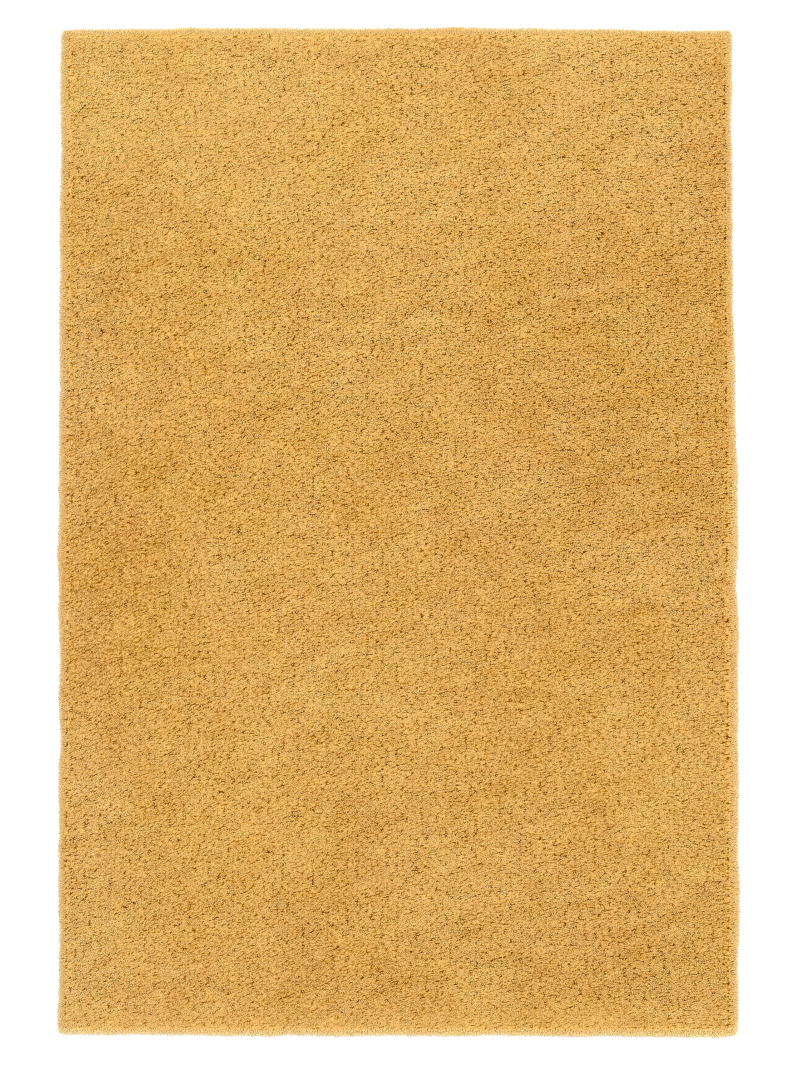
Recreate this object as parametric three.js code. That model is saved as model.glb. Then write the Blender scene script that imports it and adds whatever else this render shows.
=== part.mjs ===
// A deep-pile rug for a child's room, lying flat on the floor.
//
// The rug is one piece of cloth. Thick soft yarn stands up from a woven ground in close tufts and is cut
// level, so that nothing but yarn shows from above. The tufts lean on each other in soft patches, which
// leaves the top gently lumpy, and the outermost ones have nothing to lean on, so they fall outwards over
// the edge of the ground in small locks.
//
// The solid is that cloth as one body: a flat sole as large as the ground, a lumpy top, a full side that
// bulges past the sole, and a ring of yarn locks that grow out of that side.
//
// Frame: X across the rug, Y along it, Z up. The origin is on the floor, under the middle of the rug.
import * as THREE from "three";

// Driving dimensions, in millimetres.
const RUG_WIDTH = 1200;
const RUG_LENGTH = 1800;
const PILE_TOP = 28.5; // the usual height of the yarn ends above the floor
const CORNER_CUT = 6; // how far each corner of the ground is rounded off, in X and in Y

// The lumps of the top. Patches are where the pile leans one way, and a dimple is a few tufts wide.
const TOP_PITCH = 33; // between neighbouring points of the top
const PATCH_PITCH = 210;
const PATCH_DEPTH = 1.8; // up and down from PILE_TOP
const DIMPLE_PITCH = 62;
const DIMPLE_DEPTH = 1.8;
const TUFT_DEPTH = 1.4; // of single points
const RIM_FALL = 2.5; // how much lower the pile stands along the rim, with nothing to lean on
const RIM_BAND = 80; // how wide that lower stretch is

// The side of the rug, from the edge of the top down to the sole. Outward is measured from the edge of
// the ground, and each point may lie further out or in by what is uneven, and higher or lower by the lift.
const TOP_EDGE = -15;
const SIDE_LEVELS = [
  { name: "shoulder", outward: -4, height: 21, uneven: 1.5, lift: 1.6 },
  { name: "belly", outward: 3.5, height: 9, uneven: 1, lift: 1.2 },
  { name: "sole", outward: 0, height: 0, uneven: 0, lift: 0 },
];

// The locks of yarn, side by side between the shoulder and the belly, each with four sides and a tip.
// At the bend a lock starts to fall. Its width there is a share of its width at the root, and its upper
// edge lies further in than its lower one by the setback.
const LOCK_PITCH = 21;
const LOCK_BEND = { outward: 7.5, setback: 1, height: 13, lift: 1, halfHeight: 3.4, widthShare: 0.57 };
const LOCK_REACH = { least: 9, most: 12 }; // outward, at the tip
const LOCK_TIP = { lowest: 3, highest: 9 }; // above the floor
const LOCK_SLANT = 4; // how far a tip may lie along the edge from its root

const PILE_COLOUR = 0xd9a653;

// The four sides of the rug, anticlockwise from above: where each one starts and which way it runs.
const SIDES = [
  { startX: -1, startY: -1, alongX: 1, alongY: 0 }, // front
  { startX: 1, startY: -1, alongX: 0, alongY: 1 }, // right
  { startX: 1, startY: 1, alongX: -1, alongY: 0 }, // back
  { startX: -1, startY: 1, alongX: 0, alongY: -1 }, // left
];

// A number from 0 to 1 that looks random and is always the same for the same i, j and name.
function chance(i, j, name) {
  const kind = [...name].reduce((sum, letter) => (31 * sum + letter.charCodeAt(0)) % 997, 0);
  const wave = Math.sin(i * 127.1 + j * 311.7 + kind * 74.7) * 43758.5453;
  return wave - Math.floor(wave);
}

// The same from -1 to 1.
function sway(i, j, name) {
  return 2 * chance(i, j, name) - 1;
}

// A smooth field from -1 to 1 whose hills and hollows are about one pitch apart.
function hills(x, y, pitch, name) {
  const i = Math.floor(x / pitch);
  const j = Math.floor(y / pitch);
  const u = THREE.MathUtils.smoothstep(x / pitch - i, 0, 1);
  const v = THREE.MathUtils.smoothstep(y / pitch - j, 0, 1);
  const near = THREE.MathUtils.lerp(sway(i, j, name), sway(i + 1, j, name), u);
  const far = THREE.MathUtils.lerp(sway(i, j + 1, name), sway(i + 1, j + 1, name), u);
  return THREE.MathUtils.lerp(near, far, v);
}

// The height of the pile at one point of the top.
function pileHeight(x, y) {
  const toRim = Math.min(RUG_WIDTH / 2 - Math.abs(x), RUG_LENGTH / 2 - Math.abs(y));
  const fall = RIM_FALL * (1 - THREE.MathUtils.smoothstep(toRim, 0, RIM_BAND));
  const patch = PATCH_DEPTH * hills(x, y, PATCH_PITCH, "patch");
  const dimple = DIMPLE_DEPTH * hills(x, y, DIMPLE_PITCH, "dimple");
  const tuft = TUFT_DEPTH * sway(Math.round(x), Math.round(y), "tuft");
  return PILE_TOP + patch + dimple + tuft - fall;
}

// The cloth's surface as it grows: its points, and the triangles that number them.
class Surface {
  points = [];
  triangles = [];

  add(x, y, z) {
    return this.points.push(new THREE.Vector3(x, y, z)) - 1;
  }

  toGeometry() {
    const geometry = new THREE.BufferGeometry().setFromPoints(this.points);
    geometry.setIndex(this.triangles.flat());
    geometry.computeVertexNormals();
    return geometry;
  }
}

// Adds the lumpy top and returns its edge as one run of points for each side, corner to corner.
function addTop(surface) {
  const spanX = RUG_WIDTH + 2 * TOP_EDGE;
  const spanY = RUG_LENGTH + 2 * TOP_EDGE;
  const cellsX = Math.round(spanX / TOP_PITCH);
  const cellsY = Math.round(spanY / TOP_PITCH);
  const rows = [];
  for (let j = 0; j <= cellsY; j++) {
    const y = (j / cellsY - 0.5) * spanY;
    rows.push([]);
    for (let i = 0; i <= cellsX; i++) {
      const x = (i / cellsX - 0.5) * spanX;
      rows[j].push(surface.add(x, y, pileHeight(x, y)));
    }
  }
  // The diagonals of neighbouring cells run opposite ways, so that no ridge runs across the whole rug.
  for (let j = 0; j < cellsY; j++) {
    for (let i = 0; i < cellsX; i++) {
      const [a, b, c, d] = [rows[j][i], rows[j][i + 1], rows[j + 1][i + 1], rows[j + 1][i]];
      surface.triangles.push(...((i + j) % 2 ? [[a, b, c], [a, c, d]] : [[a, b, d], [b, c, d]]));
    }
  }
  const front = rows[0];
  const right = rows.map((row) => row[cellsX]);
  const back = rows[cellsY].toReversed();
  const left = rows.map((row) => row[0]).toReversed();
  return [front, right, back, left];
}

// Adds the points round the rug at one level of its side, and returns a run for each side.
function addRing(surface, level) {
  const halfX = RUG_WIDTH / 2 + level.outward;
  const halfY = RUG_LENGTH / 2 + level.outward;
  const runs = SIDES.map((side, s) => {
    const count = Math.round((side.alongX ? RUG_WIDTH : RUG_LENGTH) / LOCK_PITCH);
    const run = [];
    for (let n = 0; n < count; n++) {
      const isCorner = n === 0;
      const out = isCorner ? 0 : level.uneven * sway(n, s, `${level.name} out`);
      const cut = isCorner ? CORNER_CUT : 0;
      const x = side.startX * (halfX - cut) + (side.alongX * 2 * halfX * n) / count + side.alongY * out;
      const y = side.startY * (halfY - cut) + (side.alongY * 2 * halfY * n) / count - side.alongX * out;
      run.push(surface.add(x, y, level.height + level.lift * sway(n, s, `${level.name} lift`)));
    }
    return run;
  });
  return runs.map((run, s) => [...run, runs[(s + 1) % SIDES.length][0]]);
}

// Joins a run of points to the run below it, which may have another number of points.
function joinRuns(surface, upper, lower) {
  let i = 0;
  let j = 0;
  while (i < upper.length - 1 || j < lower.length - 1) {
    const nextUpper = (i + 1) / (upper.length - 1);
    const nextLower = (j + 1) / (lower.length - 1);
    if (nextUpper < nextLower) {
      surface.triangles.push([upper[i], lower[j], upper[i + 1]]);
      i++;
    } else {
      surface.triangles.push([upper[i], lower[j], lower[j + 1]]);
      j++;
    }
  }
}

// Adds the locks of one side. Each grows out of the four points that it has between two runs of the side,
// narrows to the bend where it starts to fall, and ends in a tip.
function addLocks(surface, side, s, upper, lower) {
  const along = new THREE.Vector3(side.alongX, side.alongY, 0);
  const outward = new THREE.Vector3(side.alongY, -side.alongX, 0);
  const edge = side.alongX ? RUG_LENGTH / 2 : RUG_WIDTH / 2;
  const count = upper.length - 1;
  for (let n = 0; n < count; n++) {
    const root = [lower[n], lower[n + 1], upper[n + 1], upper[n]];
    const [start, end] = root.map((point) => surface.points[point].dot(along));
    const middle = (start + end) / 2;
    const slant = LOCK_SLANT * sway(n, s, "slant");
    const place = (shift, out, z) => {
      const point = along.clone().multiplyScalar(middle + shift).addScaledVector(outward, edge + out);
      return surface.add(point.x, point.y, z);
    };

    const halfWidth = (LOCK_BEND.widthShare * (end - start)) / 2;
    const height = LOCK_BEND.height + LOCK_BEND.lift * sway(n, s, "bend");
    const [left, right] = [slant / 2 - halfWidth, slant / 2 + halfWidth];
    const [below, above] = [height - LOCK_BEND.halfHeight, height + LOCK_BEND.halfHeight];
    const bend = [
      place(left, LOCK_BEND.outward, below),
      place(right, LOCK_BEND.outward, below),
      place(right, LOCK_BEND.outward - LOCK_BEND.setback, above),
      place(left, LOCK_BEND.outward - LOCK_BEND.setback, above),
    ];

    // The lock in the middle of each side has the full reach, which keeps the rug centred on its origin.
    const share = n === Math.floor(count / 2) ? 1 : chance(n, s, "reach");
    const reach = THREE.MathUtils.lerp(LOCK_REACH.least, LOCK_REACH.most, share);
    const tipHeight = THREE.MathUtils.lerp(LOCK_TIP.lowest, LOCK_TIP.highest, chance(n, s, "tip"));
    const tip = place(slant, reach, tipHeight);

    for (let k = 0; k < root.length; k++) {
      const next = (k + 1) % root.length;
      surface.triangles.push(
        [root[k], root[next], bend[next]],
        [root[k], bend[next], bend[k]],
        [bend[k], bend[next], tip],
      );
    }
  }
}

// Closes the surface with the flat sole inside its lowest ring.
function addSole(surface, runs) {
  const ring = runs.flatMap((run) => run.slice(0, -1));
  const outline = ring.map((n) => new THREE.Vector2(surface.points[n].x, surface.points[n].y));
  for (const [a, b, c] of THREE.ShapeUtils.triangulateShape(outline, [])) {
    surface.triangles.push([ring[a], ring[c], ring[b]]);
  }
}

// The whole cloth: top, side, locks and sole in one closed surface.
function pileCloth() {
  const surface = new Surface();
  const topEdge = addTop(surface);
  const [shoulder, belly, sole] = SIDE_LEVELS.map((level) => addRing(surface, level));
  SIDES.forEach((side, s) => {
    joinRuns(surface, topEdge[s], shoulder[s]);
    addLocks(surface, side, s, shoulder[s], belly[s]);
    joinRuns(surface, belly[s], sole[s]);
  });
  addSole(surface, sole);
  const yarn = new THREE.MeshStandardMaterial({ color: PILE_COLOUR, roughness: 0.95, metalness: 0 });
  const mesh = new THREE.Mesh(surface.toGeometry(), yarn);
  mesh.name = "pile_cloth";
  return mesh;
}

const rug = new THREE.Group();
rug.add(pileCloth());

export default rug;
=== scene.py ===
"""A deep-pile rug in plain mustard yarn, lying flat on a pale floor and seen from above.

Sizes are in metres unless a name or a comment says otherwise.
"""

import math

import bpy
import numpy as np
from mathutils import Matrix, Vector
from mathutils.bvhtree import BVHTree


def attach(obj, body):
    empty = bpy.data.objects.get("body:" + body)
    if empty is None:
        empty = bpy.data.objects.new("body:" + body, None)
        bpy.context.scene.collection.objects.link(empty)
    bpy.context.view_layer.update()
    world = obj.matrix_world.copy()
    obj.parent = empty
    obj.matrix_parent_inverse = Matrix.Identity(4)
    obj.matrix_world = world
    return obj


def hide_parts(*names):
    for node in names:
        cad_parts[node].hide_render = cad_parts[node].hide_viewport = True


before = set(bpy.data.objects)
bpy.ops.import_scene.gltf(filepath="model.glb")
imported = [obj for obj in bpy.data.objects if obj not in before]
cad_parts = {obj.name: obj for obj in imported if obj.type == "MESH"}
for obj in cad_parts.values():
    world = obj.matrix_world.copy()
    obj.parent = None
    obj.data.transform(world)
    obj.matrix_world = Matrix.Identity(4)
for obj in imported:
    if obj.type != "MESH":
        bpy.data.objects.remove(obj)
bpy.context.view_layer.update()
scene = bpy.context.scene

# View
# The rug is seen from almost straight above, from a few metres up, with its far end at the top. The long
# lens keeps its sides nearly parallel.

PHOTO = {"width": 800, "height": 1067}
CAMERA_DISTANCE = 5.3
CAMERA_ELEVATION = math.radians(88)
MM_PER_PHOTO_PIXEL = 1.812  # at the middle of the rug
RUG_MIDDLE_IN_PHOTO = {"x": 397.1, "y": 529.8}

frame_width = PHOTO["width"] * MM_PER_PHOTO_PIXEL / 1000
camera_data = bpy.data.cameras.new("overhead_camera")
camera_data.sensor_fit = "HORIZONTAL"
camera_data.lens = camera_data.sensor_width * CAMERA_DISTANCE / frame_width
camera_data.clip_end = 50
camera_data.shift_x = (PHOTO["width"] / 2 - RUG_MIDDLE_IN_PHOTO["x"]) / PHOTO["width"]
camera_data.shift_y = (RUG_MIDDLE_IN_PHOTO["y"] - PHOTO["height"] / 2) / PHOTO["width"]
camera = bpy.data.objects.new("overhead_camera", camera_data)
camera.location = (
    0,
    -CAMERA_DISTANCE * math.cos(CAMERA_ELEVATION),
    CAMERA_DISTANCE * math.sin(CAMERA_ELEVATION),
)
camera.rotation_euler = (math.pi / 2 - CAMERA_ELEVATION, 0, 0)
scene.collection.objects.link(camera)
scene.camera = camera

# Ground cloth
# The rug is built on a plain woven cloth of jute, as large as the rug without its overhanging yarn. The
# yarn is tufted through it, so that it shows only from below, as a flat brown weave.

GROUND = {"width": 1.2, "length": 1.8, "thickness": 0.0025}
GROUND_CELL = 0.1  # of the grid that its mesh is made of
JUTE_THREAD = {"spacing": 0.0025, "relief": 0.0008}
JUTE = {"thread": "#b08d57", "gap": "#6e5230"}


def linear(hex_colour):
    """A Blender colour from an sRGB hex value."""
    parts = [int(hex_colour[i : i + 2], 16) / 255 for i in (1, 3, 5)]
    return [c / 12.92 if c <= 0.04045 else ((c + 0.055) / 1.055) ** 2.4 for c in parts] + [1]


def add_node(material, kind, links=(), **settings):
    """Adds a node, sets its properties and sockets, and links (socket of this node, other socket)."""
    node = material.node_tree.nodes.new(kind)
    for name, value in settings.items():
        if hasattr(node, name):
            setattr(node, name, value)
        else:
            node.inputs[name.replace("_", " ")].default_value = value
    for socket, other in links:
        material.node_tree.links.new(other, node.inputs[socket])
    return node


def new_material(name, **settings):
    """A material whose Principled shader has these sockets set. Returns it and the shader."""
    material = bpy.data.materials.new(name)
    material.use_nodes = True
    shader = material.node_tree.nodes["Principled BSDF"]
    for socket, value in settings.items():
        shader.inputs[socket.replace("_", " ")].default_value = value
    return material, shader


def slab(top, bottom, x, y):
    """Points and faces of a closed slab, with a grid of heights above and one flat face at the bottom."""
    columns, rows = len(x), len(y)
    grid_x, grid_y = np.meshgrid(x, y)
    number = np.arange(rows * columns).reshape(rows, columns)
    rim = np.concatenate([number[0, :-1], number[:-1, -1], number[-1, :0:-1], number[:0:-1, 0]])
    upper = np.stack([grid_x, grid_y, top], axis=2).reshape(-1, 3)
    lower = upper[rim] * [1, 1, 0] + [0, 0, bottom]
    cell = [number[:-1, :-1], number[:-1, 1:], number[1:, 1:], number[1:, :-1]]
    above = np.stack(cell, axis=2).reshape(-1, 4)
    below = rows * columns + np.arange(len(rim))
    side = np.stack([rim, below, np.roll(below, -1), np.roll(rim, -1)], axis=1)
    faces = [*above.tolist(), *side.tolist(), below[::-1].tolist()]
    return np.concatenate([upper, lower]), faces


def add_piece(mesh, material):
    """Puts a mesh in the scene as one piece of the pile cloth, on the rug's only body."""
    mesh.polygons.foreach_set("use_smooth", np.full(len(mesh.polygons), True))
    mesh.materials.append(material)
    mesh.update()
    piece = bpy.data.objects.new(mesh.name, mesh)
    scene.collection.objects.link(piece)
    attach(piece, "root")
    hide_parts("pile_cloth")
    return piece


# Woven jute is a dull, light brown grid of threads in relief, with darker gaps between them. It is drawn
# with a thread every 5 mm, twice as coarse as it is, to show from a few metres away.
jute, jute_shader = new_material("woven_jute", Roughness=0.9, IOR=1.5)
jute_place = add_node(jute, "ShaderNodeTexCoord").outputs["Object"]
wave_scale = 0.5 / JUTE_THREAD["spacing"] / math.pi
warp = add_node(
    jute, "ShaderNodeTexWave", [("Vector", jute_place)], bands_direction="X", Scale=wave_scale
)
weft = add_node(
    jute, "ShaderNodeTexWave", [("Vector", jute_place)], bands_direction="Y", Scale=wave_scale
)
weave = add_node(
    jute, "ShaderNodeMath", [(0, warp.outputs["Fac"]), (1, weft.outputs["Fac"])], operation="MAXIMUM"
)
jute_colour = add_node(jute, "ShaderNodeMix", [("Factor", weave.outputs[0])], data_type="RGBA")
jute_colour.inputs[6].default_value = linear(JUTE["gap"])
jute_colour.inputs[7].default_value = linear(JUTE["thread"])
jute.node_tree.links.new(jute_colour.outputs[2], jute_shader.inputs["Base Color"])
thread_bump = add_node(
    jute, "ShaderNodeBump", [("Height", weave.outputs[0])], Distance=JUTE_THREAD["relief"]
)
jute.node_tree.links.new(thread_bump.outputs["Normal"], jute_shader.inputs["Normal"])

ground_x, ground_y = [
    np.linspace(-side / 2, side / 2, round(side / GROUND_CELL) + 1)
    for side in (GROUND["width"], GROUND["length"])
]
ground_top = np.full((len(ground_y), len(ground_x)), GROUND["thickness"])
ground_points, ground_faces = slab(ground_top, 0, ground_x, ground_y)
ground_mesh = bpy.data.meshes.new("ground_cloth")
ground_mesh.from_pydata(ground_points.tolist(), [], ground_faces)
ground_cloth = add_piece(ground_mesh, jute)

# Packed pile
# Below the loose ends the yarn stands packed, like the bristles of a brush, and rounds off towards the
# floor all along the rim. It is soft acrylic yarn, tufted into the ground in slightly uneven rows.

PACKED_CELL = 0.020  # of the grid that its mesh is made of
PACKED_BELOW_TOP = 0.0025  # below the top of the CAD solid
PACKED_IN_GROUND = 0.0005  # how deep it stands in the ground cloth
# The rounded rim: where it starts inside the edge of the ground, how high its widest line lies, how far
# it reaches from its start, and how much further at the two ends of the rug.
RIM = {"inside": 0.007, "height": 0.005, "reach": 0.0168, "more at the ends": 0.003}
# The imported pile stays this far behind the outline, which belongs to the loose ends of the rim.
PACKED_BEHIND = 0.0045
CORNER_POWER = {"near": 5, "far": 12}  # 2 gives round corners, and a higher one squarer
CAD_TOP_MARGIN = 0.018  # within this distance of the ground's edge the top of the CAD solid falls away
USUAL_OVERHANG = 0.011  # how far the yarn falls past the edge of the ground
# How much further than usual it falls past each edge, at places along that edge.
OVERHANG = {
    "near": [(-0.6, -0.003), (-0.2, -0.0015), (0.2, -0.001), (0.6, 0.0015)],
    "right": [(-0.9, 0.005), (-0.6, 0.007), (0.1, 0.006), (0.3, 0.002), (0.5, -0.001), (0.9, -0.002)],
    "far": [(-0.6, 0.001), (0.25, 0.001), (0.4, -0.003), (0.6, -0.004)],
    "left": [(-0.25, 0), (-0.1, 0.005), (0.4, 0.0045), (0.6, 0.0015), (0.9, 0.004)],
}
# How the outline wavers, how the bands along the edges waver in width, and how the pile is closed here and
# open there: by how much, and the pitch of the waver.
OUTLINE_DRIFTS = {"outline": (0.0022, 0.07), "fine outline": (0.0012, 0.025)}
BAND_DRIFTS = {"rim band": (0.4, 0.09)}
CLOSED_DRIFTS = {"closed": (0.05, 0.07)}

# The colours of the yarn, from the painted shade in the gaps between the tufts to the palest ends in the
# painted light.
YARN = {
    "painted_gap_shade": "#643700",
    "shaded": "#955a00",
    "deep": "#a9770a",
    "middle": "#daaf66",
    "light": "#f5cc86",
    "pale": "#ffe4a4",
}
STRAND = 0.0015  # the thickness of one of the twisted strands of the yarn
STRAND_RELIEF = {"packed": 0.0015, "loose": 0.0005}
TUFT_SPACING = 0.0037
TUFT_EDGE = {"full": 0.30, "gap": 0.76}  # out from the middle of a tuft, as a share of the spacing
ROW_SPACING = 0.022  # between the looser rows of tufts
ROW_CONTRAST = 0.4  # how much fuller or emptier than the average a row may be
FILL_AT = {"shaded": 0.22, "deep": 0.45}  # how full the pile is where it has these colours
# The yarn leans along curves, and this is their slope in the middle of the rug and how they bend.
LAY = {"slope": 0.306, "bend": 0.132}
STRETCH = {"strands": 2, "tufts": 2.4, "rows": 3}  # how much longer than wide, along the lay
# How far in from each edge of the rug the tufts close up, and how much they do at the very edge.
CLOSED_BAND = {"near": 0.072, "right": 0.012, "left": 0.014, "far": 0.036}
CLOSED_AT_EDGE = 0.4
# Where the tufts part more than elsewhere, or less: x, y and radius, and how much.
OPEN_PATCHES = [
    (0.50, 0.28, 0.40, 0.16),
    (-0.25, 0.42, 0.28, 0.05),
    (0.10, 0.20, 0.30, 0.04),
    (0.55, -0.85, 0.25, 0.10),
    (-0.55, -0.20, 0.30, -0.04),
    (-0.50, -0.85, 0.35, -0.05),
    (0.50, -0.45, 0.18, -0.10),
    (-0.40, 0.90, 0.40, -0.10),
]

SEED = 7
DRIFT_SPAN = 3  # what a drift covers, about the middle of the rug

cad_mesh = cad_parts["pile_cloth"].data
cad_tree = BVHTree.FromPolygons(
    [tuple(v.co) for v in cad_mesh.vertices], [tuple(p.vertices) for p in cad_mesh.polygons]
)


def pile_top(x, y):
    """The height of the CAD solid's top under each point. Its rim counts as high as the top inside it."""
    limit_x, limit_y = GROUND["width"] / 2 - CAD_TOP_MARGIN, GROUND["length"] / 2 - CAD_TOP_MARGIN
    heights = []
    for a, b in zip(np.clip(x, -limit_x, limit_x), np.clip(y, -limit_y, limit_y)):
        heights.append(cad_tree.ray_cast(Vector((a, b, 1)), Vector((0, 0, -1)))[0].z)
    return np.array(heights)


def drift(x, y, pitch, name):
    """A smooth field from -1 to 1 whose hills and hollows are about one pitch apart."""
    size = int(DRIFT_SPAN / pitch) + 3
    grid = np.random.default_rng([SEED, *name.encode()]).uniform(-1, 1, (size, size))
    u, v = (x + DRIFT_SPAN / 2) / pitch, (y + DRIFT_SPAN / 2) / pitch
    i, j = u.astype(int), v.astype(int)
    u, v = u - i, v - j
    u, v = u * u * (3 - 2 * u), v * v * (3 - 2 * v)
    near = grid[i, j] * (1 - u) + grid[i + 1, j] * u
    far = grid[i, j + 1] * (1 - u) + grid[i + 1, j + 1] * u
    return near * (1 - v) + far * v


def drifts(x, y, kinds):
    """The sum of drifts, each given by its name, how much it adds, and its pitch."""
    return sum(amount * drift(x, y, pitch, name) for name, (amount, pitch) in kinds.items())


def patches(x, y, places):
    """The sum of soft round patches, each given by its x, y and radius, and how much it adds."""
    return sum(
        amount * np.exp(-((x - patch_x) ** 2 + (y - patch_y) ** 2) / radius**2)
        for patch_x, patch_y, radius, amount in places
    )


def across_lay(x, y):
    """How far across the lay of the pile a point is. It is the same all along one of the lay's curves."""
    return y - LAY["slope"] * x + LAY["bend"] * x**2


def edge_closeness(x, y, band):
    """How near each edge of the rug a point is, from 0 at the inner limit of the band to 1 at the edge."""
    edge_x, edge_y = GROUND["width"] / 2 + USUAL_OVERHANG, GROUND["length"] / 2 + USUAL_OVERHANG
    inward = {"near": edge_y + y, "right": edge_x - x, "far": edge_y - y, "left": edge_x + x}
    waver = 1 + drifts(x, y, BAND_DRIFTS)
    return {name: np.clip(1 - gap / band[name] / waver, 0, 1) for name, gap in inward.items()}


def overhang(x, y):
    """How much further than usual the yarn falls past the nearest edges, in X and in Y."""
    waver = drifts(x, y, OUTLINE_DRIFTS)
    more = {}
    for name, places in OVERHANG.items():
        more[name] = np.interp(x if name in ("near", "far") else y, *zip(*places)) + waver
    return np.where(x < 0, more["left"], more["right"]), np.where(y < 0, more["near"], more["far"])


def store(mesh, name, values):
    """Stores a value for each point of a mesh, which its material reads by this name."""
    mesh.attributes.new(name, "FLOAT", "POINT").data.foreach_set("value", values)


def store_lay(mesh, points):
    """Stores for each point how far it is along and across the lay of the pile."""
    lay = np.column_stack([points[:, 0], across_lay(points[:, 0], points[:, 1]), points[:, 2]])
    mesh.attributes.new("lay", "FLOAT_VECTOR", "POINT").data.foreach_set("vector", lay.ravel())


def along_lay(material, stretch):
    """Coordinates for a texture that is drawn out along the lay of the pile."""
    lay = add_node(material, "ShaderNodeAttribute", attribute_name="lay").outputs["Vector"]
    drawn_out = add_node(material, "ShaderNodeMapping", [("Vector", lay)], Scale=(1 / stretch, 1, 1))
    return drawn_out.outputs["Vector"]


def add_strands(material, shader, relief):
    """Adds the relief of the yarn's strands, and returns their pattern as a value."""
    # They are drawn twice as coarse as they are, because the real ones are too fine to show from above.
    strands = add_node(
        material,
        "ShaderNodeTexNoise",
        [("Vector", along_lay(material, STRETCH["strands"]))],
        Scale=0.5 / STRAND,
        Detail=1,
        Roughness=0.5,
    )
    bump = add_node(material, "ShaderNodeBump", [("Height", strands.outputs["Fac"])], Distance=relief)
    material.node_tree.links.new(bump.outputs["Normal"], shader.inputs["Normal"])
    return strands.outputs["Fac"]


# Acrylic yarn that stands on end swallows the light. It has no shine, looks a deep golden brown, and is
# painted nearly black brown in the gaps between the tufts, as painted shade.
packed, packed_shader = new_material(
    "acrylic_pile_at_its_roots", Roughness=1, IOR=1.5, Specular_IOR_Level=0
)
add_strands(packed, packed_shader, STRAND_RELIEF["packed"])
tufts = add_node(
    packed,
    "ShaderNodeTexVoronoi",
    [("Vector", along_lay(packed, STRETCH["tufts"]))],
    voronoi_dimensions="2D",
    Scale=1 / TUFT_SPACING,
    Randomness=0.9,
)
# How full the pile is: 0 in a gap and 1 in the middle of a tuft, and then more or less in a full or a
# loose row and where the pile is more closed or more open. The ramp paints shade by it: the emptier, the
# darker.
tuft_fill = add_node(
    packed,
    "ShaderNodeMapRange",
    [("Value", tufts.outputs["Distance"])],
    From_Min=TUFT_EDGE["gap"],
    From_Max=TUFT_EDGE["full"],
)
tuft_rows = add_node(
    packed,
    "ShaderNodeTexNoise",
    [("Vector", along_lay(packed, STRETCH["rows"]))],
    Scale=1 / ROW_SPACING,
    Detail=2,
    Roughness=0.5,
)
row_fill = add_node(
    packed,
    "ShaderNodeMapRange",
    [("Value", tuft_rows.outputs["Fac"])],
    To_Min=-ROW_CONTRAST,
    To_Max=ROW_CONTRAST,
)
fill_in_row = add_node(
    packed,
    "ShaderNodeMath",
    [(0, tuft_fill.outputs["Result"]), (1, row_fill.outputs["Result"])],
    operation="ADD",
)
closed_fill = add_node(packed, "ShaderNodeAttribute", attribute_name="closed").outputs["Fac"]
fill = add_node(
    packed, "ShaderNodeMath", [(0, fill_in_row.outputs[0]), (1, closed_fill)], operation="ADD"
)
# Painted shade: the emptiest gaps get the darkest colour, and the full middles of the tufts the lightest.
packed_ramp = add_node(packed, "ShaderNodeValToRGB", [("Fac", fill.outputs[0])])
packed_ramp.color_ramp.elements[0].color = linear(YARN["painted_gap_shade"])
packed_ramp.color_ramp.elements[1].color = linear(YARN["middle"])
packed_ramp.color_ramp.elements.new(FILL_AT["shaded"]).color = linear(YARN["shaded"])
packed_ramp.color_ramp.elements.new(FILL_AT["deep"]).color = linear(YARN["deep"])
packed.node_tree.links.new(packed_ramp.outputs["Color"], packed_shader.inputs["Base Color"])

packed_reach = {
    "x": RIM["reach"] - PACKED_BEHIND,
    "y": RIM["reach"] + RIM["more at the ends"] - PACKED_BEHIND,
}


def packed_lines(side, reach):
    """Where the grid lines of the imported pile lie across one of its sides, closer together at the rim."""
    half = side / 2 - RIM["inside"]
    round_off = reach * np.cos(np.radians([0, 18, 36, 54, 72]))
    middle = np.linspace(-half, half, int(2 * half / PACKED_CELL))
    return np.concatenate([-half - round_off, middle, half + round_off[::-1]])


def past_rim_start(x, y):
    """How far past the start of the rim each point is, in X and in Y, as a share of the reach there."""
    past_x = np.maximum(np.abs(x) - GROUND["width"] / 2 + RIM["inside"], 0) / packed_reach["x"]
    past_y = np.maximum(np.abs(y) - GROUND["length"] / 2 + RIM["inside"], 0) / packed_reach["y"]
    return past_x, past_y


packed_x = packed_lines(GROUND["width"], packed_reach["x"])
packed_y = packed_lines(GROUND["length"], packed_reach["y"])
grid_x, grid_y = np.meshgrid(packed_x, packed_y)
past = np.maximum(*past_rim_start(grid_x, grid_y))
packed_top = pile_top(grid_x.ravel(), grid_y.ravel()).reshape(grid_x.shape) - PACKED_BELOW_TOP
packed_top = RIM["height"] + (packed_top - RIM["height"]) * np.sqrt(np.clip(1 - past**2, 0, 1))
packed_bottom = GROUND["thickness"] - PACKED_IN_GROUND
packed_points, packed_faces = slab(packed_top, packed_bottom, packed_x, packed_y)

# The square corners of the grid are pulled in to round ones, and each side goes out to its own outline.
past_x, past_y = past_rim_start(packed_points[:, 0], packed_points[:, 1])
power = np.where(packed_points[:, 1] < 0, CORNER_POWER["near"], CORNER_POWER["far"])
norm = (past_x**power + past_y**power) ** (1 / power)
pull = 1 - np.maximum(past_x, past_y) / np.maximum(norm, 1e-9)
pull[norm == 0] = 0
packed_points[:, 0] -= np.sign(packed_points[:, 0]) * pull * past_x * packed_reach["x"]
packed_points[:, 1] -= np.sign(packed_points[:, 1]) * pull * past_y * packed_reach["y"]
more_x, more_y = overhang(packed_points[:, 0], packed_points[:, 1])
packed_points[:, 0] += np.sign(packed_points[:, 0]) * more_x * past_x
packed_points[:, 1] += np.sign(packed_points[:, 1]) * more_y * past_y

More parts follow.
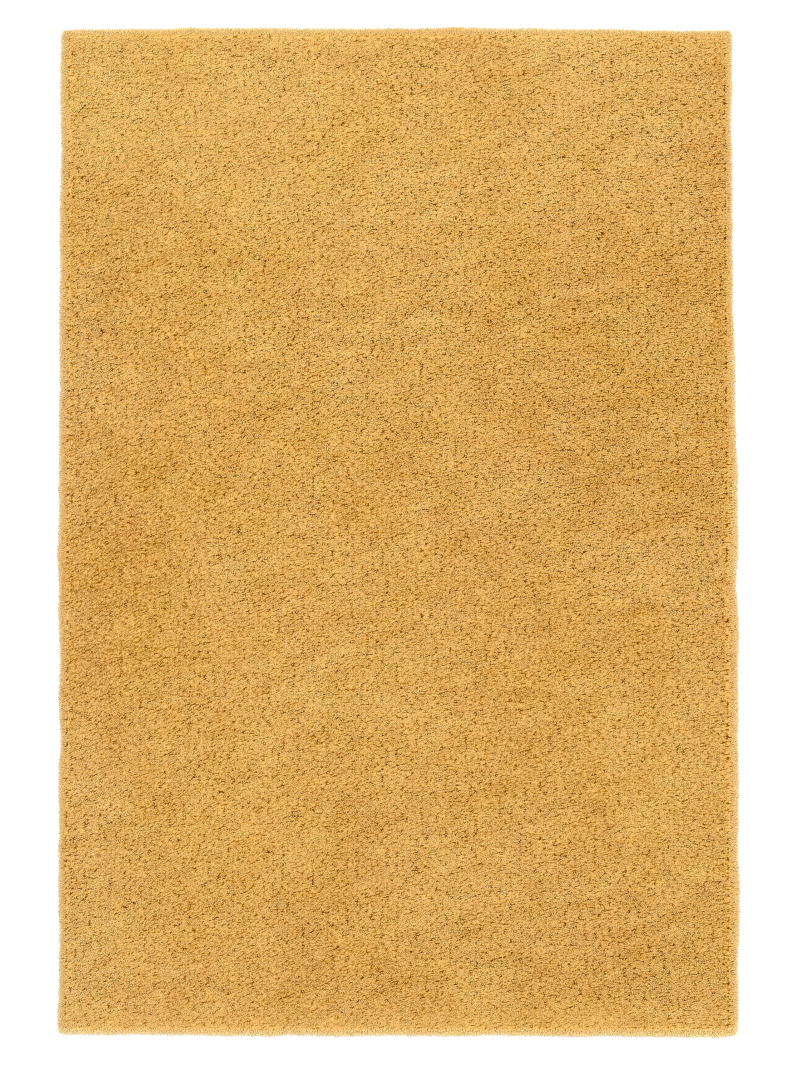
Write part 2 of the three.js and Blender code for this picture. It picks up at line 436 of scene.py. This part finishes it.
packed_mesh = bpy.data.meshes.new("packed_pile")
packed_mesh.from_pydata(packed_points.tolist(), [], packed_faces)
packed_at = packed_points[:, 0], packed_points[:, 1]
closed = drifts(*packed_at, CLOSED_DRIFTS) - patches(*packed_at, OPEN_PATCHES)
closed += CLOSED_AT_EDGE * sum(edge_closeness(*packed_at, CLOSED_BAND).values())
store(packed_mesh, "closed", closed)
store_lay(packed_mesh, packed_points)
packed_pile = add_piece(packed_mesh, packed)

# Loose ends of the top
# The cut ends of the yarn, about 2.5 mm thick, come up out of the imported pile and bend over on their
# neighbours. They lie along the lay of the pile, some one way and some the other, and close the top but
# for small gaps.

END_SPACING = 0.00337
END_LENGTH = 0.0055
END_HALF_WIDTH = 0.00121
END_VARIES = {"length": (0.7, 1.3), "width": (0.8, 1.2)}  # as a share of the usual size
END_WIDEST = 0.45  # where between its root and its tip an end is widest
END_ROOT_DEPTH = 0.004
END_BELOW_TOP = 0.001  # how far the middle of an end lies below the top of the CAD solid
OVER_FLOOR = 0.0005  # the least height of any part of an end
# How uneven the ends are: in place by a share of their spacing, in height, in tilt by a slope, in the way
# they point by degrees, and in tone.
UNEVEN = {"place": 0.3, "height": 0.0008, "tilt": 0.15, "turn": 16, "tone": 0.14}
TURN_DRIFTS = {"turn": (12, 0.09)}  # by how many degrees patches of ends turn off the lay, and the pitch
# How far in from each edge of the rug the ends turn outwards, and how strongly they do and how much
# longer, paler and more even they get; their paleness there is painted light.
OUTWARD_BAND = {"near": 0.032, "right": 0.020, "left": 0.019, "far": 0.016}
OUTWARD = {"near": (0, -1), "right": (1, 0), "far": (0, 1), "left": (-1, 0)}
AT_RIM = {"outward": 1.2, "longer": 0.3, "paler": 0.15, "more even": 0.4}
# Painted light and shade from how the pile lies: drifts, by how much and with their pitch, and streaks
# along the lay, by how much, how many times longer than wide, and how wide.
LIE_LIGHT_DRIFTS = {"patch": (0.05, 0.11), "spot": (0.03, 0.045)}
LIE_LIGHT_STREAKS = {"lie wide": (0.05, 3, 0.015), "lie": (0.05, 4, 0.007)}
# Painted light and shade where the pile is stroked towards or away from the light: x, y and radius, and how
# much.
STROKED_LIGHT_PATCHES = [
    (0.40, 0.88, 0.22, 0.13),
    (-0.20, 0.72, 0.18, 0.06),
    (-0.45, 0.78, 0.15, 0.07),
    (0.00, 0.58, 0.12, 0.05),
    (-0.54, 0.50, 0.12, -0.12),
    (-0.19, 0.32, 0.13, 0.08),
    (0.14, 0.38, 0.11, 0.07),
    (0.42, 0.38, 0.08, 0.09),
    (0.29, 0.14, 0.09, 0.06),
    (-0.48, 0.06, 0.15, -0.14),
    (-0.54, -0.22, 0.13, -0.17),
    (-0.10, -0.32, 0.14, 0.06),
    (0.25, -0.40, 0.10, -0.08),
    (-0.12, -0.76, 0.12, -0.08),
    (0.50, -0.80, 0.12, 0.04),
]
# The hue and the saturation of the dye, which also carry painted light. 0.5 and 1 leave the colours as they
# are, and more is yellower and stronger. Both follow the painted light and shade of the lie of the pile, a
# faded stretch along the left edge and the painted light that pales the ends of the rim, and drift a
# little. The hue also rises in a patch at the far left corner.
HUE = {"usual": 0.503, "lie": 0.07, "side": 0.005, "paled_by_light": 0.08}
HUE_DRIFTS = {"hue": (0.0036, 0.15), "fine hue": (0.0036, 0.06)}
YELLOWER_PATCHES = [(-0.45, 0.75, 0.35, 0.006)]
SATURATION = {"usual": 1, "lie": -0.35, "side": -0.07, "paled_by_light": -1}
SATURATION_DRIFTS = {"dye": (0.02, 0.13), "fine dye": (0.02, 0.05)}
FADED_SIDE = {"x": -0.62, "width": 0.13}
ROOT_SHADE = "#bc9c27"  # what is left of each colour in the shade at a root
SHEEN = "#ffc860"
# The tone of an end and its mottle, which is 0.5 on average, are added up. A sum of 0 looks deep, 0.5
# middle, 1 light and 1.33 pale, and this brings it onto a ramp from 0 to 1.
TONE_TO_RAMP = 0.75
BAKE_MARGIN = 0.1  # round each end's own square on the sheet that the yarn is baked to
STRIPS = 5  # pieces that the ends of the top are shared out over, from the near end to the far one


def lie_light_and_shade(x, y):
    """Painted light and shade from how the pile lies: above 0 paler and yellower, and below 0 deeper and
    redder.
    """
    lie = drifts(x, y, LIE_LIGHT_DRIFTS) + patches(x, y, STROKED_LIGHT_PATCHES)
    for name, (amount, stretch, width) in LIE_LIGHT_STREAKS.items():
        lie += amount * drift(x / stretch, across_lay(x, y), width, name)
    return lie


def dye(x, y, paled_by_light):
    """The hue and the saturation of the yarn at each point, with painted light and shade in them."""
    lie = lie_light_and_shade(x, y)
    side = np.exp(-((x - FADED_SIDE["x"]) ** 2) / FADED_SIDE["width"] ** 2)
    hue = HUE["usual"] + HUE["lie"] * lie + np.maximum(HUE["side"] * side, HUE["paled_by_light"] * paled_by_light)
    hue += patches(x, y, YELLOWER_PATCHES) + drifts(x, y, HUE_DRIFTS)
    saturation = SATURATION["usual"] + SATURATION["lie"] * lie
    saturation += SATURATION["side"] * side + SATURATION["paled_by_light"] * paled_by_light
    saturation += drifts(x, y, SATURATION_DRIFTS)
    return hue, saturation


# Soft acrylic yarn in mustard has no shine of its own, only the low golden sheen of its many fine fibres.
# Its ends vary in tone and carry painted light and shade from the lie of the pile and at the rim, its roots
# are painted warmer and darker as shade, and the dye differs a little over the rug.
yarn, yarn_shader = new_material(
    "mustard_acrylic_yarn",
    Roughness=0.85,
    IOR=1.5,
    Specular_IOR_Level=0,
    Sheen_Weight=0.35,
    Sheen_Roughness=0.5,
    Sheen_Tint=linear(SHEEN),
)
mottle = add_node(
    yarn,
    "ShaderNodeMapRange",
    [("Value", add_strands(yarn, yarn_shader, STRAND_RELIEF["loose"]))],
    From_Min=0.25,
    From_Max=0.75,
    To_Min=0.35,
    To_Max=0.65,
)
# The tone of an end, with painted light and shade in it besides its own random tone.
tone_and_painted_light = add_node(yarn, "ShaderNodeAttribute", attribute_name="tone").outputs["Fac"]
tone_sum = add_node(
    yarn, "ShaderNodeMath", [(0, mottle.outputs["Result"]), (1, tone_and_painted_light)], operation="ADD"
)
ramp_place = add_node(yarn, "ShaderNodeMath", [(0, tone_sum.outputs[0])], operation="MULTIPLY")
ramp_place.inputs[1].default_value = TONE_TO_RAMP
ramp = add_node(yarn, "ShaderNodeValToRGB", [("Fac", ramp_place.outputs[0])])
ramp.color_ramp.elements[0].color = linear(YARN["deep"])
ramp.color_ramp.elements[1].color = linear(YARN["pale"])
ramp.color_ramp.elements.new(0.5 * TONE_TO_RAMP).color = linear(YARN["middle"])
ramp.color_ramp.elements.new(1.0 * TONE_TO_RAMP).color = linear(YARN["light"])
along_end = add_node(yarn, "ShaderNodeAttribute", attribute_name="along").outputs["Fac"]
shade = add_node(yarn, "ShaderNodeValToRGB", [("Fac", along_end)])
shade.color_ramp.elements[0].color = linear(ROOT_SHADE)
shade.color_ramp.elements[1].color = (1, 1, 1, 1)
shade.color_ramp.elements[1].position = END_WIDEST
shaded_yarn = add_node(
    yarn,
    "ShaderNodeMix",
    [(6, ramp.outputs["Color"]), (7, shade.outputs["Color"])],
    data_type="RGBA",
    blend_type="MULTIPLY",
    Factor=1,
)
hue_of_end = add_node(yarn, "ShaderNodeAttribute", attribute_name="hue").outputs["Fac"]
saturation_of_end = add_node(yarn, "ShaderNodeAttribute", attribute_name="saturation").outputs["Fac"]
dyed_yarn = add_node(
    yarn,
    "ShaderNodeHueSaturation",
    [("Color", shaded_yarn.outputs[2]), ("Hue", hue_of_end), ("Saturation", saturation_of_end)],
)
yarn.node_tree.links.new(dyed_yarn.outputs["Color"], yarn_shader.inputs["Base Color"])


def yarn_ends(name, place, normal, lean, length, half_width, tone, root_light=0, paled_by_light=0):
    """One piece of closed four-sided yarn ends. Each has its root, two sides and a tip.

    Root light is how far the roots are out of the shade; the last argument is how much duller the yarn is
    painted, as painted light.
    """
    count = len(place)
    across = np.cross(normal, lean)
    root = place - lean * (END_WIDEST * length)[:, None] - normal * END_ROOT_DEPTH
    left = place + across * half_width[:, None]
    right = place - across * half_width[:, None]
    tip = place + lean * ((1 - END_WIDEST) * length)[:, None]
    points = np.stack([root, left, right, tip], axis=1)
    points[:, :, 2] = np.maximum(points[:, :, 2], OVER_FLOOR)
    triangles = np.array([(0, 2, 1), (1, 2, 3), (0, 1, 3), (0, 3, 2)])
    faces = (np.arange(count)[:, None, None] * 4 + triangles).reshape(-1, 3)

    mesh = bpy.data.meshes.new(name)
    mesh.vertices.add(count * 4)
    mesh.vertices.foreach_set("co", points.ravel())
    mesh.loops.add(faces.size)
    mesh.loops.foreach_set("vertex_index", faces.ravel())
    mesh.polygons.add(len(faces))
    mesh.polygons.foreach_set("loop_start", np.arange(0, faces.size, 3))
    hue, saturation = dye(place[:, 0], place[:, 1], paled_by_light)
    store(mesh, "tone", np.repeat(tone, 4))
    store(mesh, "hue", np.repeat(hue, 4))
    store(mesh, "saturation", np.repeat(saturation, 4))
    store(mesh, "along", np.tile([root_light, END_WIDEST, END_WIDEST, 1], count))
    store_lay(mesh, points.reshape(-1, 3))

    cells = math.ceil(math.sqrt(count))
    corner = np.stack([np.arange(count) % cells, np.arange(count) // cells], axis=1)
    flat = np.array([(0.5, 0), (1, END_WIDEST), (0, END_WIDEST), (0.5, 1)])[triangles.ravel()]
    spots = (corner[:, None] + BAKE_MARGIN + (1 - 2 * BAKE_MARGIN) * flat[None]) / cells
    mesh.uv_layers.new(name="OFBake").data.foreach_set("uv", spots.ravel())
    return add_piece(mesh, yarn)


def unit(vectors):
    """The same directions with length 1."""
    return vectors / np.linalg.norm(vectors, axis=1, keepdims=True)


draws = np.random.default_rng(SEED)
field_x, field_y = GROUND["width"] / 2 - RIM["inside"], GROUND["length"] / 2 - RIM["inside"]
row_gap = END_SPACING * math.sqrt(3) / 2
columns, rows = round(2 * field_x / END_SPACING), round(2 * field_y / row_gap)
row, column = np.divmod(np.arange(columns * rows), columns)
# The rows are staggered, and each end stands a little out of place.
x = (column + 0.25 + 0.5 * (row % 2)) * END_SPACING - field_x
y = (row + 0.5) * row_gap - field_y
x = x + draws.uniform(-UNEVEN["place"], UNEVEN["place"], len(x)) * END_SPACING
y = y + draws.uniform(-UNEVEN["place"], UNEVEN["place"], len(y)) * END_SPACING


def uneven():
    """A random number for each end, which sets it off from its neighbours in the rows on both sides."""
    noise = draws.normal(0, 1, (rows, columns))
    noise = noise - 0.5 * np.roll(noise, 1, axis=0) - 0.5 * np.roll(noise, -1, axis=0)
    spread = 1.22
    return (noise / spread).ravel()


# Each end leans along the lay, and near the rim it turns outwards.
turn = np.arctan(LAY["slope"] - 2 * LAY["bend"] * x)
off_lay = drifts(x, y, TURN_DRIFTS) + draws.normal(0, UNEVEN["turn"], len(x))
turn = turn + np.radians(off_lay)
heading = np.stack([np.cos(turn), np.sin(turn)], axis=1) * draws.choice([-1, 1], len(x))[:, None]
closeness = edge_closeness(x, y, OUTWARD_BAND)
outward = sum(near[:, None] * np.array(OUTWARD[name]) for name, near in closeness.items())
at_rim = np.clip(np.linalg.norm(outward, axis=1), 0, 1)
heading = heading * (1 - at_rim[:, None]) + outward * AT_RIM["outward"]
heading = unit(np.column_stack([heading, np.zeros(len(x))]))

height = pile_top(x, y) - END_BELOW_TOP + UNEVEN["height"] * uneven()
normal = unit(np.column_stack([draws.normal(0, UNEVEN["tilt"], (len(x), 2)), np.ones(len(x))]))
uneven_tone = UNEVEN["tone"] * (1 - AT_RIM["more even"] * at_rim)
# The tone of each end carries painted light and shade from the lie of the pile, and painted light that
# makes it paler near the rim.
ends = {
    "place": np.column_stack([x, y, height]),
    "normal": normal,
    "lean": unit(heading - normal * np.sum(heading * normal, axis=1, keepdims=True)),
    "length": END_LENGTH * draws.uniform(*END_VARIES["length"], len(x)) * (1 + AT_RIM["longer"] * at_rim),
    "half_width": END_HALF_WIDTH * draws.uniform(*END_VARIES["width"], len(x)),
    "tone": lie_light_and_shade(x, y) + uneven_tone * uneven() + AT_RIM["paler"] * at_rim,
}
strip = np.minimum((row * STRIPS) // rows, STRIPS - 1)
for number in range(STRIPS):
    ends_here = {name: values[strip == number] for name, values in ends.items()}
    yarn_ends(f"loose_ends_{number + 1}", **ends_here)

# Loose ends of the rim
# The outermost ends have nothing to lean on. They fan out over the rounded edge of the pile and fall to
# the floor on all four sides, in an outline that wavers a little.

RIM_SPACING = 0.0026
RIM_ANGLES = {"top": 78, "bottom": -14}  # degrees above the horizontal
RIM_RADIUS = 0.018  # of the rounded edge on average, for the number of rows of ends
RIM_END_LENGTH = 0.0078
RIM_END_VARIES = {"length": (0.6, 1.4), "width": (0.65, 1.05)}  # as a share of the usual size
RIM_END_INSIDE = 0.003  # how far the middle of an end lies inside the outline
RIM_UNEVEN = {"place": 0.001, "sideways": 0.5, "off the pile": (0.1, 1.3)}  # the last two are slopes
RIM_LOWEST = 0.0025  # the least height of the middle of an end
# How much paler the ends of the rim are painted as painted light: all a little, more at the near end and
# the outermost, and the right side as much paler as the left side is deeper, with some unevenness; how much
# duller the painted light makes them; and how far their roots are out of the shade.
RIM_TONE_AND_LIGHT = {"all": 0.05, "near end": 0.3, "right side": 0.1, "outermost": 0.6, "uneven": 0.07}
RIM_PALED_BY_LIGHT = {"all": 0.02, "outermost": 0.09}
RIM_ROOT_LIGHT = 0.25

arc = math.pi / 2 * RIM["reach"]
straight = {"x": 2 * field_x, "y": 2 * field_y}
around = 2 * (straight["x"] + straight["y"]) + 4 * arc
per_turn = round(around / RIM_SPACING)
bottom, top = math.radians(RIM_ANGLES["bottom"]), math.radians(RIM_ANGLES["top"])
turns = round((top - bottom) * RIM_RADIUS / RIM_SPACING)
s = np.tile((np.arange(per_turn) + 0.5) * around / per_turn, turns)
s = np.mod(s + draws.uniform(-0.5, 0.5, len(s)) * RIM_SPACING, around)
angle = np.repeat(np.linspace(bottom, top, turns), per_turn)
angle = angle + draws.uniform(-0.5, 0.5, len(s)) * (top - bottom) / turns

# Round the rug from its near left corner: each side, then the quarter turn after it.
line = np.zeros((len(s), 2))
facing = np.zeros(len(s))
corners = [(-field_x, -field_y), (field_x, -field_y), (field_x, field_y), (-field_x, field_y)]
start = 0
for number in range(4):
    side = straight["x"] if number % 2 == 0 else straight["y"]
    first, second = np.array(corners[number]), np.array(corners[(number + 1) % 4])
    here = (s >= start) & (s < start + side)
    line[here] = first + (second - first) * ((s[here] - start) / side)[:, None]
    facing[here] = math.radians(90 * number - 90)
    here = (s >= start + side) & (s <= start + side + arc)
    line[here] = second
    facing[here] = math.radians(90 * number - 90) + (s[here] - start - side) / RIM["reach"]
    start += side + arc

out = np.column_stack([np.cos(facing), np.sin(facing), np.zeros(len(s))])
power = np.where(line[:, 1] < 0, CORNER_POWER["near"], CORNER_POWER["far"])
corner_reach = (np.abs(out[:, 0]) ** power + np.abs(out[:, 1]) ** power) ** (-1 / power)
more_x, more_y = overhang(line[:, 0] + out[:, 0] * RIM["reach"], line[:, 1] + out[:, 1] * RIM["reach"])
rim_radius = (RIM["reach"] - RIM_END_INSIDE) * corner_reach
rim_radius = rim_radius + draws.normal(0, RIM_UNEVEN["place"], len(s))
rim_radius = rim_radius + more_x * out[:, 0] ** 2 + (more_y + RIM["more at the ends"]) * out[:, 1] ** 2
top_at_rim = pile_top(line[:, 0], line[:, 1]) - END_BELOW_TOP - RIM["height"]
up = np.array([[0, 0, 1]])
rim_place = (
    np.column_stack([line, np.full(len(s), RIM["height"])])
    + out * (rim_radius * np.cos(angle))[:, None]
    + up * (top_at_rim * np.sin(angle))[:, None]
)
rim_place[:, 2] = np.maximum(rim_place[:, 2], RIM_LOWEST)
rim_normal = out * np.cos(angle)[:, None] + up * np.sin(angle)[:, None]
downward = out * np.sin(angle)[:, None] - up * np.cos(angle)[:, None]
off_pile = rim_normal * draws.uniform(*RIM_UNEVEN["off the pile"], (len(s), 1))
sideways = np.cross(up, out) * draws.normal(0, RIM_UNEVEN["sideways"], (len(s), 1))
rim_length = RIM_END_LENGTH * draws.uniform(*RIM_END_VARIES["length"], len(s))
rim_half_width = END_HALF_WIDTH * draws.uniform(*RIM_END_VARIES["width"], len(s))

# The outermost ends catch the most light, which is painted on them as paler and duller yarn. The painted
# light is full from 23 degrees above the horizontal, a third of that at the horizontal, and a tenth where
# other ends throw their shade.
outermost = np.cos(angle) ** 2
in_light = np.clip(0.35 + angle / math.radians(35), 0.1, 1)
rim_tone_and_light = RIM_TONE_AND_LIGHT["all"] + RIM_TONE_AND_LIGHT["near end"] * np.clip(-out[:, 1], 0, 1)
rim_tone_and_light = rim_tone_and_light + RIM_TONE_AND_LIGHT["right side"] * out[:, 0]
rim_tone_and_light = rim_tone_and_light + RIM_TONE_AND_LIGHT["outermost"] * outermost * in_light
rim_tone_and_light = rim_tone_and_light + RIM_TONE_AND_LIGHT["uneven"] * draws.normal(0, 1, len(s))
rim_ends = yarn_ends(
    "rim_ends",
    rim_place,
    rim_normal,
    unit(downward + sideways + off_pile),
    rim_length,
    rim_half_width,
    rim_tone_and_light,
    root_light=RIM_ROOT_LIGHT,
    paled_by_light=RIM_PALED_BY_LIGHT["all"] + RIM_PALED_BY_LIGHT["outermost"] * outermost,
)

# Floor and light
# A pale, matte studio floor under a wide soft light, which hangs over the rug a little towards its far
# end, with pale light all round. The rug's edge throws only a faint, soft shadow.

FLOOR_SIZE = 14
STUDIO = {"floor": "#f6f6f4", "light": "#ffffff"}
KEY_LIGHT = {"size": (4.0, 3.0), "place": (-0.3, 0.7, 4.4), "watts": 101}
SKY_STRENGTH = 1.17
PIXEL_FILTER = 1.15  # in pixels, narrow enough to keep the grain of the pile

# Matte paint on the floor, nearly white and without shine.
studio_floor, _ = new_material(
    "matte_studio_floor", Roughness=0.9, IOR=1.5, Base_Color=linear(STUDIO["floor"])
)
floor_mesh = bpy.data.meshes.new("studio_floor")
edge = FLOOR_SIZE / 2
floor_corners = [(-edge, -edge, 0), (edge, -edge, 0), (edge, edge, 0), (-edge, edge, 0)]
floor_mesh.from_pydata(floor_corners, [], [(0, 1, 2, 3)])
floor_mesh.materials.append(studio_floor)
floor = bpy.data.objects.new("studio_floor", floor_mesh)
scene.collection.objects.link(floor)

key_data = bpy.data.lights.new("key_light", "AREA")
key_data.shape = "RECTANGLE"
key_data.size, key_data.size_y = KEY_LIGHT["size"]
key_data.energy = KEY_LIGHT["watts"]
key = bpy.data.objects.new("key_light", key_data)
key.location = KEY_LIGHT["place"]
key.rotation_euler = (Vector((0, 0, 0)) - key.location).to_track_quat("-Z", "Y").to_euler()
scene.collection.objects.link(key)

world = bpy.data.worlds.new("studio")
world.use_nodes = True
world.node_tree.nodes["Background"].inputs["Color"].default_value = linear(STUDIO["light"])
world.node_tree.nodes["Background"].inputs["Strength"].default_value = SKY_STRENGTH
scene.world = world
scene.view_settings.view_transform = "Standard"
scene.cycles.filter_width = PIXEL_FILTER
scene.cycles.use_denoising = False
